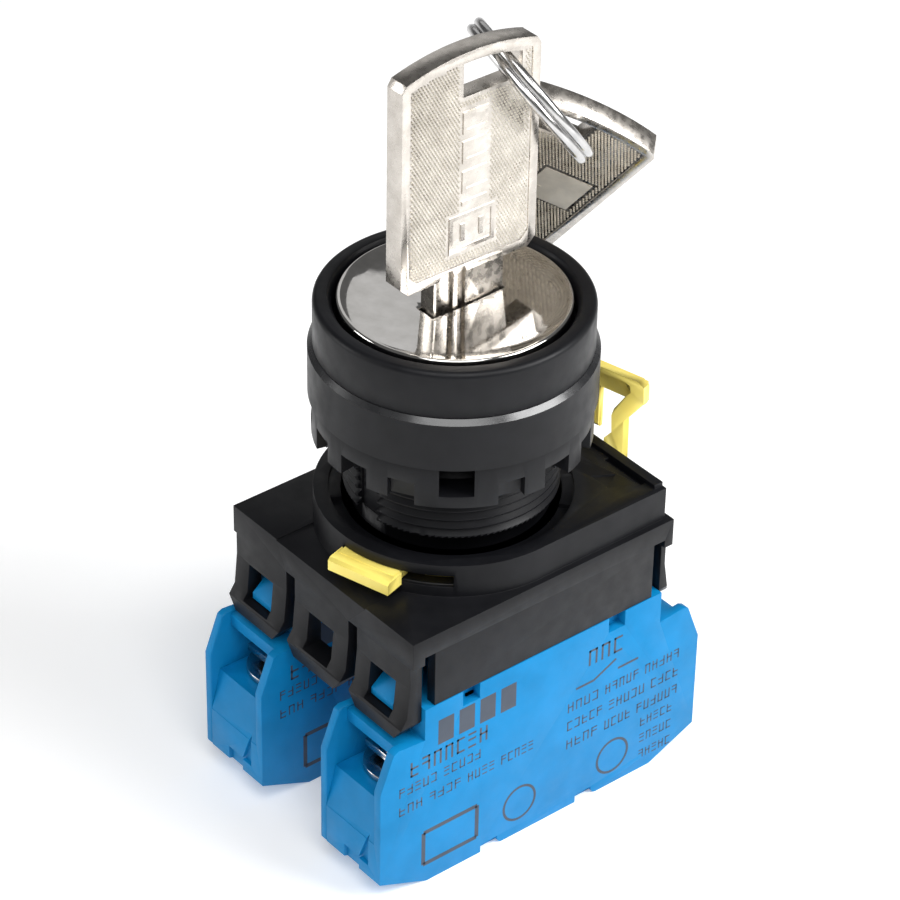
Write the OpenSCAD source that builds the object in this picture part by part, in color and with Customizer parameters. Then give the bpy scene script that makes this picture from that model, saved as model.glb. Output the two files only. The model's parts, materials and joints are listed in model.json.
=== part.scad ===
// Selector key switch for a 22 mm panel hole: operator, contact-block adaptor and two contact blocks.
// Origin: switch axis in the plane of the panel's front face. +Z towards the key, +Y towards the
// adaptor's TOP end. The flange rests on the panel at z = 0 and everything below z = 0 is behind it.

/* [Operator] */
// Outer diameter of the flange that covers the panel hole
flange_d = 29; // [28.6:0.1:29.4]
// Height of the flange at its chamfer
flange_h = 5.25; // [4.8:0.05:5.6]
// Diameter of the bezel ring above the flange
bezel_d = 28; // [27.6:0.1:28.2]
// Height of the bezel's top above the panel
bezel_top = 10.9; // [10.4:0.1:11.4]
// Diameter of the opening in the bezel
bezel_open_d = 25; // [24.6:0.1:25.4]
// Diameter of the chrome face disc
disc_d = 23.4; // [22.8:0.1:23.6]
// Depth of the dish in the face disc
dish_depth = 0.75; // [0.4:0.05:1]
// Crest diameter of the threaded sleeve
thread_d = 22; // [21.8:0.1:22.2]
// Pitch of the sleeve's thread
thread_pitch = 1; // [0.9:0.05:1.1]
// Length of the thread below the panel face
thread_len = 10.6; // [9.5:0.1:11.5]
// Width of the two grooves along the thread
keyway_w = 3.2; // [2.8:0.1:3.4]

/* [Locking nut] */
// Outer diameter of the ring nut
nut_d = 28.3; // [28:0.1:28.4]
// Height of the ring nut
nut_h = 4.4; // [4:0.1:5]
// Width of the nut's tool windows
nut_window_w = 3.45; // [3:0.05:4]

/* [Lock] */
// Diameter of the lock plug
plug_d = 13; // [12.6:0.1:13.2]
// Number of tumbler wafers
wafers = 5; // [3:1:5]
// Distance between wafers along the plug
wafer_step = 2.3; // [2.1:0.1:2.4]

/* [Keys] */
// Width of the key's head
head_w = 16.85; // [16:0.1:17]
// Height of the key's head at its corners
head_h = 23; // [22:0.1:23.5]
// Thickness of the key's head
head_t = 2.3; // [2.1:0.1:2.5]
// Width of the key's blade
blade_w = 7; // [6.8:0.1:7]
// Thickness of the key's blade
blade_t = 1.95; // [1.7:0.05:2]
// Length of the key's blade
blade_len = 22.8; // [21:0.1:23]
// Outer diameter of the split ring
ring_d = 17.4; // [17.3:0.05:17.5]
// Wire diameter of the split ring
ring_wire = 1.05; // [0.9:0.05:1.1]

/* [Adaptor] */
// Width of the adaptor
adaptor_w = 29.4; // [29.2:0.1:29.6]
// Distance from the axis to the adaptor's bottom end
adaptor_front = 16.6; // [16.5:0.05:16.7]
// Distance from the axis to the adaptor's TOP end
adaptor_back = 17.35; // [17.3:0.05:17.4]
// Radius of the round end of the raised boss
boss_r = 14; // [13.9:0.05:14.05]
// Depth of the boss's top below the panel face
boss_top = 11.83; // [11.7:0.01:12]
// Depth of the shoulder below the panel face
shoulder_top = 15.6; // [15.5:0.05:15.7]
// Width of the snap tabs' windows
window_w = 4; // [3.8:0.1:4.2]
// Distance between neighbouring snap tabs
bay_pitch = 10.05; // [10:0.01:10.1]

/* [Contact block] */
// Width of one contact block
block_w = 9.8; // [9.6:0.05:9.8]
// Distance from the axis to the middle of each contact block
block_x = 9.85; // [9.85:0.01:9.87]
// Thickness of a block's end cheeks
cheek_t = 1; // [0.8:0.05:1.1]

/* [Hidden] */
$fn = 96;
e = 0.05;

black = [0.12, 0.13, 0.15];
blue = [0.02, 0.46, 0.78];
yellow = [1, 0.78, 0.2];
nickel = [0.8, 0.78, 0.74];
brass = [0.78, 0.62, 0.32];
white = [0.9, 0.9, 0.86];

flange_r = flange_d / 2;
bezel_r = bezel_d / 2;
chamfer_top = flange_h + flange_r - bezel_r;
spigot_r = 12.6;
spigot_top = 7.8;
bezel_bore_r = 12.1;
disc_r = disc_d / 2;
disc_base = 6.5;
sleeve_bore_r = 9.5;
sleeve_bottom = -17.2;
neck_r = 10.2;
thread_r = thread_d / 2;
thread_root_r = thread_r - 0.6;
gasket_in = 11.4;
gasket_out = 14.2;

nut_top = -0.25;
nut_bottom = nut_top - nut_h;
nut_bore_r = thread_r + 0.08;
nut_angle = -37.6;

plug_r = plug_d / 2;
plug_top = 6.4;
plug_bottom = -8.8;
wafer_top = 3.6;
wafer_t = 0.8;
cam_r = 8.9;
cam_top = -8.9;
cam_base = -11.2;
cam_lobe = -12.6;
guide_top = -16;

key_y = 0.68;
head_z = 14;
hole_arch_r = 20;
neck_y = [-3.5, 5.2];
neck_bottom = 8.2;
ring_centre = [-1.97, 10.6, 29.15];
ring_turn = [0, 125.7, -107];
spare_hole = [-4.5, 15.8, 23.5];
spare_turn = [31.2, -26, 131.7];
key_hole = [0, 3.3, 35];

half_w = adaptor_w / 2;
deck_bottom = -17.6;
ring_pocket_top = -13.05;
ring_top = -13.15;
ring_bottom = -14.35;
ring_pocket_r = 13.6;
ring_out = 13.35;
ring_in = 11.25;
ring_rest = 13;
tab_rest = 16;
bayonet_angle = 49;
tab_split = 18.8;
side_wall = 1.2;
side_bottom = -24.4;

block_top = -24.45;
roof_top = -21.5;
cavity_top = -26;
cavity_bottom = -45.6;
sill_z = -34.9;
screw_front = -14.2;
screw_back = 15.4;
bridge_z = -32.3;
post_bottom = -40.6;
spring_seat = cavity_bottom + 0.05;

// Points on an arc, used to round a profile's corners
function arc(cx, cy, r, a0, a1, n = 5) =
    [for (i = [0:n]) [cx + r * cos(a0 + (a1 - a0) * i / n), cy + r * sin(a0 + (a1 - a0) * i / n)]];

// A box between two corners
module span(x0, x1, y0, y1, z0, z1) {
    translate([x0, y0, z0]) cube([x1 - x0, y1 - y0, z1 - z0]);
}

// A tube about Z between two heights
module tube(r_out, r_in, z0, z1) {
    difference() {
        translate([0, 0, z0]) cylinder(r = r_out, h = z1 - z0);
        translate([0, 0, z0 - 1]) cylinder(r = r_in, h = z1 - z0 + 2);
    }
}

// A wedge about Z between two angles, as deep as the radius r
module wedge(r, a0, a1, z0, z1) {
    steps = max(1, ceil((a1 - a0) / 20));
    translate([0, 0, z0])
        linear_extrude(z1 - z0)
            polygon(concat([[0, 0]],
                [for (i = [0:steps]) r / cos((a1 - a0) / steps / 2) *
                    [cos(a0 + (a1 - a0) * i / steps), sin(a0 + (a1 - a0) * i / steps)]]));
}

// A Y-Z outline extruded along X between two planes
module side_profile(x0, x1, points) {
    translate([x0, 0, 0])
        rotate([90, 0, 90])
            linear_extrude(x1 - x0) polygon(points);
}

// An X-Z outline extruded along Y between two planes
module front_profile(y0, y1, points) {
    translate([0, y1, 0])
        rotate([90, 0, 0])
            linear_extrude(y1 - y0) polygon(points);
}

// A coil spring along Z: one closed tube swept along a helix
module coil(r, wire_r, z0, z1, turns, sides = 6, per_turn = 14) {
    steps = turns * per_turn;
    points = [for (i = [0:steps]) for (k = [0:sides - 1])
        let (a = 360 * i / per_turn, b = 360 * k / sides, rr = r + wire_r * cos(b))
            [rr * cos(a), rr * sin(a), z0 + wire_r + (z1 - z0 - 2 * wire_r) * i / steps + wire_r * sin(b)]];
    walls = [for (i = [0:steps - 1]) for (k = [0:sides - 1])
        let (p = i * sides + k, q = i * sides + (k + 1) % sides)
            each [[p, p + sides, q + sides], [p, q + sides, q]]];
    ends = [[for (k = [0:sides - 1]) k], [for (k = [sides - 1:-1:0]) steps * sides + k]];
    polyhedron(points, concat(walls, ends));
}

// ---------------------------------------------------------------- operator

module bezel() {
    edge = 0.6;
    color(black)
        rotate_extrude()
            polygon(concat(
                [[spigot_r + e, chamfer_top + 0.02], [bezel_r, chamfer_top + 0.02]],
                arc(bezel_r - edge, bezel_top - edge, edge, 0, 90),
                [[bezel_open_d / 2, bezel_top], [bezel_bore_r, bezel_top - 0.6],
                 [bezel_bore_r, spigot_top + 0.1], [spigot_r + e, spigot_top + 0.1]]));
}

// Thread ridges as rings: crest, flank and root for every pitch
function thread_profile() =
    [for (z = [-0.4:-thread_pitch:0.6 - thread_len]) each
        [[thread_r, z], [thread_r, z - 0.12], [thread_root_r, z - 0.46], [thread_root_r, z - 0.58],
         [thread_r, z - thread_pitch + 0.06]]];

module operator_housing() {
    color(black)
        difference() {
            rotate_extrude()
                polygon(concat(
                    [[sleeve_bore_r, sleeve_bottom], [sleeve_bore_r, 1.5], [10.4, 1.5],
                     [10.4, spigot_top], [spigot_r, spigot_top], [spigot_r, chamfer_top],
                     [bezel_r, chamfer_top], [flange_r, flange_h], [flange_r, 0], [gasket_out, 0],
                     [gasket_out, 1.2], [gasket_in - 0.1, 1.2], [gasket_in - 0.1, 0], [thread_r, 0]],
                    thread_profile(),
                    [[thread_r, -thread_len], [neck_r, -thread_len], [neck_r, -14.6], [11, -14.6],
                     [11, -16], [neck_r, -16], [neck_r, sleeve_bottom]]));
            for (turn = [0, 180])
                rotate([0, 0, turn])
                    span(-keyway_w / 2, keyway_w / 2, -12, -thread_root_r + 0.35, -thread_len - 0.1, -0.2);
            // gaps between the two bayonet lugs
            for (turn = [0, 180])
                rotate([0, 0, turn])
                    difference() {
                        wedge(12, bayonet_angle + 10, bayonet_angle + 170, -16.2, -14.4);
                        translate([0, 0, -17]) cylinder(r = neck_r, h = 4);
                    }
            // detent notches
            for (turn = [-45, 0, 45])
                rotate([0, 0, turn])
                    translate([0, -sleeve_bore_r + 0.15, -13])
                        rotate([0, 0, 45]) translate([-0.3, -0.3, 0]) cube([0.6, 0.6, 5]);
        }
}

module panel_gasket() {
    color([0.08, 0.08, 0.09]) tube(gasket_out - 0.05, gasket_in, 0, 1.18);
}

module locking_nut() {
    window_z = nut_top - 3.1;
    slot_z = nut_top - 1.85;
    color(black)
        difference() {
            tube(nut_d / 2, nut_bore_r, nut_bottom, nut_top);
            for (i = [0:3]) rotate([0, 0, nut_angle + 90 * i]) {
                span(10, 15, -nut_window_w / 2, nut_window_w / 2, window_z, nut_top + 1);
                rotate([0, 0, 45])
                    span(10, 15, -nut_window_w / 2, nut_window_w / 2, nut_bottom - 1, slot_z);
            }
            for (i = [0:7]) rotate([0, 0, nut_angle + 22.5 + 45 * i])
                span(13.15, 15, -1.4, 1.4, nut_bottom - 1, slot_z);
            // the rim is stepped up between the windows that are open at the top
            for (i = [0:3]) rotate([0, 0, nut_angle + 45 + 90 * i])
                difference() {
                    wedge(16, -28, 28, nut_bottom - 1, nut_bottom + 0.3);
                    translate([0, 0, nut_bottom - 2]) cylinder(r = 12.4, h = 3);
                }
        }
}

// ---------------------------------------------------------------- rotor and lock

module face_disc() {
    lip = 0.28;
    dish_r = disc_r - 0.55;
    color(nickel)
        difference() {
            rotate_extrude()
                polygon(concat(
                    [[0, disc_base], [9.9, disc_base], [9.9, 8.3], [disc_r, 8.3]],
                    arc(disc_r - lip, bezel_top - lip, lip, 0, 90),
                    [for (i = [0:8]) let (r = dish_r * (1 - i / 8))
                        [r, bezel_top - 0.12 - dish_depth * (1 - pow(r / dish_r, 2))]]));
            span(-1.12, 1.12, neck_y[0] - 0.15, neck_y[1] + 0.15, 5, 12);
            span(-3.6, 3.6, -5.1, 5.1, disc_base - 1, disc_base + 1.2);
            tube(11, 9.2, disc_base + 0.4, disc_base + 1.4);
        }
}

module face_seal() {
    color([0.08, 0.08, 0.09])
        translate([0, 0, disc_base + 0.9])
            rotate_extrude() translate([9.66, 0]) circle(r = 0.4, $fn = 32);
}

module lock_sleeve() {
    color(brass)
        difference() {
            union() {
                tube(9.4, plug_r + e, -7, 5.6);
                tube(10.3, plug_r + e, 1.6, 3);
            }
            for (turn = [0, 180])
                rotate([0, 0, turn]) span(-2.7, 2.7, 5, 7.7, -8, 6);
        }
}

module lock_plug() {
    color(brass)
        difference() {
            union() {
                translate([0, 0, plug_bottom]) cylinder(r = plug_r, h = plug_top - plug_bottom);
                span(-3.5, 3.5, -5, 5, plug_top - e, disc_base + 1.1);
                translate([0, 0, -13]) intersection() {
                    cylinder(r = 4.4, h = 5);
                    translate([-3.2, -5, 0]) cube([6.4, 10, 5]);
                }
            }
            span(-1.1, 1.1, -blade_w / 2 - 0.15, blade_w / 2 + 0.15, plug_bottom, 10);
            for (i = [0:wafers - 1]) translate([0, 0, wafer_top - i * wafer_step]) {
                span(-2.6, 2.6, -7, 7, -wafer_t / 2 - e, wafer_t / 2 + e);
                span(2.5, 3.9, -2.4, 2.4, -0.6, 0.6);
            }
            tube(8, 5.7, -8.1, -7.3);
        }
}

module tumbler_wafers() {
    color(brass)
        for (i = [0:wafers - 1]) translate([0, 0, wafer_top - i * wafer_step])
            difference() {
                span(-2.5, 2.5, -5.9, 5.9, -wafer_t / 2, wafer_t / 2);
                span(-1.25, 1.25, -blade_w / 2 - 0.25, blade_w / 2 + 0.25, -1, 1);
            }
}

module wafer_springs() {
    color(nickel)
        for (i = [0:wafers - 1]) translate([3.2, 0, wafer_top - i * wafer_step])
            rotate([90, 0, 0]) coil(0.38, 0.1, -2.2, 2.2, 5, 4, 8);
}

module retaining_clip() {
    color(nickel)
        difference() {
            tube(7.6, 5.75, -8, -7.4);
            span(-2.5, 2.5, 0, 9, -9, -6);
        }
}

module cam() {
    color(white)
        difference() {
            union() {
                translate([0, 0, cam_base]) cylinder(r = cam_r, h = cam_top - cam_base);
                for (a = [25, 115]) intersection() {
                    tube(cam_r, 5.4, cam_lobe, cam_base + e);
                    wedge(12, a, a + 40, cam_lobe - 1, cam_base + 1);
                }
            }
            intersection() {
                translate([0, 0, -14]) cylinder(r = 4.45, h = 8);
                translate([-3.25, -6, -14]) cube([6.5, 12, 8]);
            }
            rotate([90, 0, 0]) translate([0, cam_top - 1.15, 5]) cylinder(r = 0.85, h = 5);
        }
}

module detent_pin() {
    color(nickel)
        translate([0, 0, cam_top - 1.15]) rotate([90, 0, 0]) {
            translate([0, 0, 7.2]) cylinder(r = 0.8, h = 1.4);
            translate([0, 0, 8.6]) sphere(r = 0.8);
        }
}

module detent_spring() {
    color(nickel)
        translate([0, 0, cam_top - 1.15]) rotate([90, 0, 0]) coil(0.55, 0.14, 5.1, 6.8, 4, 5, 10);
}

module pusher_guide() {
    color(black)
        difference() {
            translate([0, 0, sleeve_bottom + 0.05]) cylinder(r = 9.45, h = guide_top - sleeve_bottom - 0.05);
            for (s = [-1, 1]) translate([s * 6.9, 0, 0]) span(-1.45, 1.45, -1.95, 1.95, -18, -15);
        }
}

// A pusher under the cam; its foot reaches outwards over the contact block's plunger
module pusher(s) {
    color(white)
        scale([s, 1, 1]) {
            span(5.2, 8.6, -2.2, 2.2, -13.6, -12.8);
            span(5.6, 8.2, -1.8, 1.8, -19.1, -13.5);
            span(5.6, 11, -1.8, 1.8, -19.1, -17.9);
        }
}

module left_pusher() {
    mirror([1, 0, 0]) pusher(1);
}

module right_pusher() {
    pusher(1);
}

// ---------------------------------------------------------------- keys

// The key's head seen along X, as a Y-Z outline with an arched top
module head_outline(inset = 0) {
    arch = 1.35;
    half = head_w / 2 - inset;
    arch_r = (pow(head_w / 2, 2) + arch * arch) / (2 * arch) - inset;
    intersection() {
        translate([key_y - half, head_z + inset]) square([2 * half, head_h + 3]);
        translate([key_y, head_z + head_h + arch - inset - arch_r]) circle(r = arch_r, $fn = 192);
        // corner chamfers
        translate([key_y, head_z + inset])
            polygon([[-half + 0.9, 0], [half - 0.9, 0], [half, 0.9], [half, head_h - 0.6 - inset],
                     [half - 0.7, head_h + 0.5], [half - 0.7, 30], [-half + 0.7, 30],
                     [-half + 0.7, head_h + 0.5], [-half, head_h - 0.6 - inset], [-half, 0.9]]);
    }
}

// Depths of the cuts along one edge of the blade, from head to tip
function cut_depth(i, side) = 0.35 + 0.3 * ((i * 7 + side * 4) % 3);

module key_body() {
    color(nickel)
        difference() {
            union() {
                translate([-head_t / 2, 0, 0]) rotate([90, 0, 90]) linear_extrude(head_t) head_outline();
                side_profile(-blade_t / 2, blade_t / 2,
                    [[-blade_w / 2, head_z + 0.5], [blade_w / 2, head_z + 0.5],
                     [blade_w / 2, head_z - blade_len + 2.6], [1.2, head_z - blade_len],
                     [-1.2, head_z - blade_len], [-blade_w / 2, head_z - blade_len + 2.6]]);
                // wider neck that stops inside the face disc's slot
                span(-blade_t / 2, blade_t / 2, neck_y[0], neck_y[1], neck_bottom, head_z + 0.5);
            }
            // sunk panel on both faces
            for (s = [0, 1]) mirror([s, 0, 0])
                translate([head_t / 2 - 0.12, 0, 0]) rotate([90, 0, 90]) linear_extrude(1) head_outline(1);
            // hole for the ring
            intersection() {
                span(-3, 3, -0.3, 6.9, 33.5, 38);
                translate([-3, key_y, head_z + head_h + 0.15 - hole_arch_r])
                    rotate([0, 90, 0]) cylinder(r = hole_arch_r, h = 6, $fn = 192);
            }
            // milled grooves along the blade, run out into the head
            for (s = [-1, 1]) scale([s, s, 1])
                for (g = [[-3.16, -1.1], [-0.46, 0.45]])
                    side_profile(0.45, 2,
                        [[g[0], -12], [g[1], -12], [g[1], head_z + 0.2], [g[1] - 0.25, head_z + 0.75],
                         [g[0] + 0.4, head_z + 0.45], [g[0], head_z - 0.1]]);
            // cuts where the wafers sit
            for (i = [0:wafers - 1]) for (side = [-1, 1])
                let (depth = cut_depth(i, side + 1), z = wafer_top - i * wafer_step)
                    side_profile(-3, 3,
                        [[side * (blade_w / 2 - depth), z - 0.35], [side * (blade_w / 2 - depth), z + 0.35],
                         [side * 5, z + 0.35 + (5 - blade_w / 2 + depth)],
                         [side * 5, z - 0.35 - (5 - blade_w / 2 + depth)]]);
        }
}

module key() {
    key_body();
}

module spare_key() {
    translate(spare_hole) rotate(spare_turn) translate(-key_hole) key_body();
}

module key_ring() {
    color(nickel)
        translate(ring_centre) rotate([0, 0, ring_turn[2]]) rotate([0, ring_turn[1], 0])
            rotate_extrude()
                for (s = [-1, 1]) translate([ring_d / 2 - ring_wire / 2, s * 0.45 * ring_wire])
                    circle(r = ring_wire / 2, $fn = 24);
}

// ---------------------------------------------------------------- adaptor

module boss_outline() {
    circle(r = boss_r);
    translate([-boss_r + 0.02, 0]) square([2 * boss_r - 0.04, adaptor_back - 0.65]);
}

// One snap tab: its side profile cut to a front outline with chamfered lower corners
module tab(y0, y1, profile, x0, x1, low) {
    intersection() {
        side_profile(x0, x1, profile);
        front_profile(y0, y1,
            [[x0, -17.4], [x0, low + 1.5], [x0 + 1.1, low], [x1 - 1.1, low], [x1, low + 1.5], [x1, -17.4]]);
    }
}

// The three snap tabs of one end with their windows
module end_tabs(y0, y1, profile, low) {
    gap_in = 4.4;
    gap_out = 5.8;
    difference() {
        union() {
            tab(y0, y1, profile, -gap_in, gap_in, low);
            tab(y0, y1, profile, gap_out, half_w - 0.45, low);
            tab(y0, y1, profile, -half_w + 0.45, -gap_out, low);
        }
        for (x = [-bay_pitch, 0, bay_pitch])
            span(x - window_w / 2, x + window_w / 2, y0 - 1, y1 + 1, -25.85, -21.6);
    }
}

module adaptor_body() {
    front_y = -adaptor_front;
    front_in = front_y + 1.5;
    back_in = adaptor_back - 1.1;
    front_tab = [[front_y, -17.4], [front_y, -21.3], [front_y - 0.35, -25], [-17.7, -26.1], [-17.7, -27.6],
                 [-16.4, -27.6], [front_in, -26], [front_in, -17.4]];
    back_tab = [[back_in, -17.4], [back_in, -25.3], [16.6, -25.85], [18.17, -25.85], [18.17, -25.5],
                [17.4, -24.5], [16.87, -21.3], [16.87, -17.4]];
    color(black)
        difference() {
            union() {
                difference() {
                    span(-half_w, half_w, front_y, adaptor_back, deck_bottom, -shoulder_top);
                    span(-7.4, 7.1, front_y - 1, -11, -shoulder_top - 0.2, -shoulder_top + 1);
                }
                translate([0, 0, -shoulder_top - 0.5])
                    linear_extrude(shoulder_top + 0.5 - boss_top) boss_outline();
                // raised wall along the TOP end
                span(-13.4, 13.4, 15.6, adaptor_back - 0.65, -boss_top - 0.2, -boss_top + 0.45);
                // end walls above the tabs
                span(-half_w, half_w, front_y, front_in, -tab_split, deck_bottom + e);
                span(-half_w, half_w, back_in, adaptor_back, -tab_split, deck_bottom + e);
                end_tabs(-19, front_in, front_tab, -27.6);
                end_tabs(back_in, 19, back_tab, -25.9);
                // side walls and the ribs between the bays
                for (s = [-1, 1]) scale([s, 1, 1]) {
                    span(half_w - side_wall, half_w, -13.8, 14.8, side_bottom, deck_bottom + e);
                    span(half_w - side_wall, half_w, front_y, adaptor_back, -17.85, deck_bottom + e);
                    span(4.3, 4.75, -13.8, 14.8, side_bottom, deck_bottom + e);
                }
            }
            // well round the sleeve, the bore through its floor and the pocket of the locking ring
            translate([0, 0, -12.55]) cylinder(r = 12.45, h = 3);
            translate([0, 0, -14]) cylinder(r = 11.15, h = 4);
            translate([0, 0, -18]) cylinder(r = ring_pocket_r, h = 18 + ring_pocket_top);
            // slots that the ring's tab and lever reach out through
            difference() {
                wedge(16, -89, -38, ring_bottom - 0.05, ring_pocket_top);
                translate([0, 0, -16]) cylinder(r = 12, h = 4);
            }
            difference() {
                wedge(19, 56, 104, ring_bottom - 0.05, ring_pocket_top);
                translate([0, 0, -16]) cylinder(r = 12, h = 4);
            }
            // groove inside the raised wall, and an arrow that marks the TOP end
            for (s = [-1, 1]) scale([s, 1, 1]) span(6.4, 12, 14.95, 15.6, -boss_top - 0.5, 0);
            translate([9, 12.9, -boss_top - 0.15])
                linear_extrude(1) polygon([[-1.3, -0.9], [1.3, -0.9], [0, 1.3]]);
        }
    // bayonet pads in the well
    color(black)
        for (turn = [36, 216]) intersection() {
            tube(12.5, 11.2, -12.6, -boss_top - 0.25);
            wedge(14, turn, turn + 26, -13, -11);
        }
}

module ring_retainer() {
    color(black)
        difference() {
            tube(ring_pocket_r - e, 11.3, -15.6, -14.4);
            for (s = [-1, 1]) span(s * 14 - 2, s * 14 + 2, -2, 2, -16, -14);
        }
}

// The lever's plate in its own plane, u across and z up
module lever_plate() {
    polygon([[4.4, -2.8], [11.6, -2.7], [12.3, -3.15], [12.4, -5], [10.05, -8.2], [10.1, -14.2],
             [7.7, -14.2], [7.7, -11.25], [8.6, -10.15], [8.5, -8.1], [8.8, -7.1], [10.2, -4.95],
             [10.75, -4.4], [10.6, -3.6], [10, -3.4], [4.4, -3.45]]);
}

module locking_ring() {
    plate_in = 15.6;
    plate_out = 16.6;
    grip_out = 17.2;
    finger_out = 17.4;
    color(yellow) {
        difference() {
            tube(ring_out, ring_in, ring_bottom, ring_top);
            // stepped back beside the tab, behind its slot
            difference() {
                wedge(14, -60, -16, ring_bottom - 1, ring_top + 1);
                translate([0, 0, -16]) cylinder(r = 12.3, h = 4);
            }
        }
        // teeth that catch the sleeve's lugs
        for (turn = [0, 180]) intersection() {
            tube(ring_in + 0.1, 10.45, ring_bottom, ring_top - 0.4);
            rotate([0, 0, turn]) wedge(12, bayonet_angle - 11, bayonet_angle + 10, ring_bottom - 1, ring_top);
        }
        // front tab
        rotate([0, 0, tab_rest]) {
            span(-3.4, 3.3, -14.6, -12.2, ring_bottom + 0.1, ring_top);
            difference() {
                side_profile(-3.7, 3.6,
                    [[-16, -14.65], [-16, -13.5], [-15.65, -13.2], [-13, -13.2], [-13, -14.65]]);
                translate([0, 0, -15]) cylinder(r = 14.15, h = 4);
            }
        }
        // rear lever: foot, plate, grip and finger
        rotate([0, 0, ring_rest]) {
            span(7.7, 10.1, 10.2, plate_out, ring_bottom + 0.1, ring_top);
            translate([0, plate_out, 0]) rotate([90, 0, 0]) linear_extrude(plate_out - plate_in) lever_plate();
            span(4.4, 11.8, plate_out - e, grip_out, -5.9, -3.3);
            side_profile(4.4, 6.2,
                [[plate_out, -5.8], [finger_out, -5.8], [finger_out, -11.2], [17, -11.2], [plate_out, -10.7]]);
        }
    }
}

// ---------------------------------------------------------------- contact block, centred on x = 0

// Mirrors a point of the block's front half to its rear half
function rear(p) = [1.2 - p[0], p[1]];

front_edge = [[-15, block_top], [-15, -28.3], [-18.35, -28], [-18.95, -28.3], [-20.6, -32.6],
              [-20.6, -44.4], [-14.5, -47]];
block_outline = concat(front_edge, [for (i = [len(front_edge) - 1:-1:0]) rear(front_edge[i])]);
terminal_cut = [[-23, -39.6], [-20.55, -39.6], [-19.4, sill_z], [-9.9, sill_z], [-9.9, -29.8],
                [-17.9, -29.8], [-17.9, -28.4], [-15, -27.9], [-15, -26], [-23, -26]];

// Snap nose that shows in the adaptor's window, on the block's front or rear end
module nose(points) {
    side_profile(-1.72, 1.72, points);
}

module block_housing() {
    inner = block_w / 2 - cheek_t;
    front_nose = [[-12.8, -24.5], [-12.8, -22], [-13.2, -22], [-16.6, -24.85], [-16.6, -25.6],
                  [-14.9, -25.8]];
    color(blue)
        difference() {
            union() {
                side_profile(-inner, block_w / 2, block_outline);
                // neck that reaches up into the adaptor
                span(-3.3, 3.3, -6, 7.2, block_top - 1.5, roof_top);
                nose(front_nose);
                nose([for (p = front_nose) [1 - p[0], p[1]]]);
            }
            // contact chamber, open towards the cover, and the plunger's hole
            span(-6, inner, -9, 10.2, cavity_bottom, cavity_top);
            span(-1.65, 1.65, -1.95, 1.95, -27, -20);
            // terminal chambers behind the end openings
            side_profile(-6, inner, terminal_cut);
            side_profile(-6, inner, [for (p = terminal_cut) rear(p)]);
            for (y = [screw_front, screw_back])
                translate([0, y, -48]) cylinder(r = 3.1, h = 14);
            // slots that the contact strips pass through
            for (y = [-10, 9.9]) span(-6, 3.1, y - 0.3, y + 1.6, -33.4, -32.2);
            // notches in the upper and lower edges of the printed side
            for (y = [-10.2, 9.05]) span(block_w / 2 - 1.2, 6, y, y + 2.2, -26.3, -24);
            for (y = [-7.4, 5.4]) span(block_w / 2 - 0.7, 6, y, y + 3, -48, -46);
            // notch and three-cornered recess in the lower part of each end
            for (end = [0, 1]) translate([0, 1.2 * end, 0]) mirror([0, end, 0]) {
                span(-0.95, 1.45, -21, -20.15, -45, -42.8);
                front_profile(-21, -20.15, [[2.95, -38.9], [1.35, -43], [2.95, -43]]);
            }
        }
    // half-round bumps beside the lower notches
    color(blue)
        for (y = [-4.45, 8.35])
            translate([block_w / 2 - 0.7, y, -46.25]) rotate([0, 90, 0]) cylinder(r = 0.75, h = 0.7, $fn = 32);
}

module block_cover() {
    color(blue)
        difference() {
            side_profile(-block_w / 2, -block_w / 2 + cheek_t - 0.05, block_outline);
            side_profile(-block_w, -block_w / 2 + 0.3, [[-6, -30], [-6, -42], [7.2, -42], [7.2, -30]]);
        }
}

module plunger() {
    color(white) {
        span(-1.5, 1.5, -1.8, 1.8, -27.5, -19.2);
        span(-3.2, 3.2, -2.6, 2.6, -28.3, -26.4);
        for (s = [-1, 1]) scale([s, 1, 1]) span(2.3, 3.2, -1.6, 1.6, -38, -28);
        span(-3.2, 3.2, -1.6, 1.6, -38.8, -37.4);
        translate([0, 0, post_bottom]) cylinder(r = 0.9, h = 2);
    }
}

module bridge() {
    color([0.8, 0.45, 0.25]) {
        span(-1.9, 1.9, -7.6, 7.6, bridge_z, bridge_z + 0.6);
        for (y = [-6.6, 6.6]) translate([0, y, bridge_z - 0.6]) cylinder(r = 1.2, h = 0.7);
    }
}

module contact_spring() {
    color(nickel) coil(1.3, 0.2, bridge_z + 0.86, -28.4, 4);
}

module return_spring() {
    color(nickel) coil(2.1, 0.25, spring_seat, -38.9, 5);
}

// Fixed contact: terminal plate outside the chamber, strip through the wall, contact under the bridge
module fixed_contact() {
    color(brass)
        difference() {
            union() {
                span(-3, 3, -16.4, -8.1, -33.2, -32.4);
                span(-3, 3, -8.9, -8.1, -36.6, -32.4);
                span(-3, 3, -8.9, -5.2, -36.6, -35.8);
                translate([0, -6.6, -35.9]) cylinder(r = 1.3, h = 0.9);
            }
            translate([0, screw_front, -34]) cylinder(r = 1.75, h = 3);
        }
}

module front_contact() {
    fixed_contact();
}

module rear_contact() {
    translate([0, 1.2, 0]) mirror([0, 1, 0]) fixed_contact();
}

// Terminal screws: head below, slot facing down, shank up through washer and plate
module screws() {
    color(nickel)
        for (y = [screw_front, screw_back]) translate([0, y, 0])
            difference() {
                union() {
                    translate([0, 0, -37.3]) cylinder(r = 2.9, h = 2.35);
                    translate([0, 0, -35]) cylinder(r = 1.7, h = 4.4);
                }
                span(-0.4, 0.4, -4, 4, -38, -36.4);
                span(-1.6, 1.6, -0.4, 0.4, -38, -36.2);
            }
}

module washers() {
    color(nickel)
        for (y = [screw_front, screw_back]) translate([0, y, 0])
            tube(3.75, 1.8, sill_z + 0.03, sill_z + 0.75);
}

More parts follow.
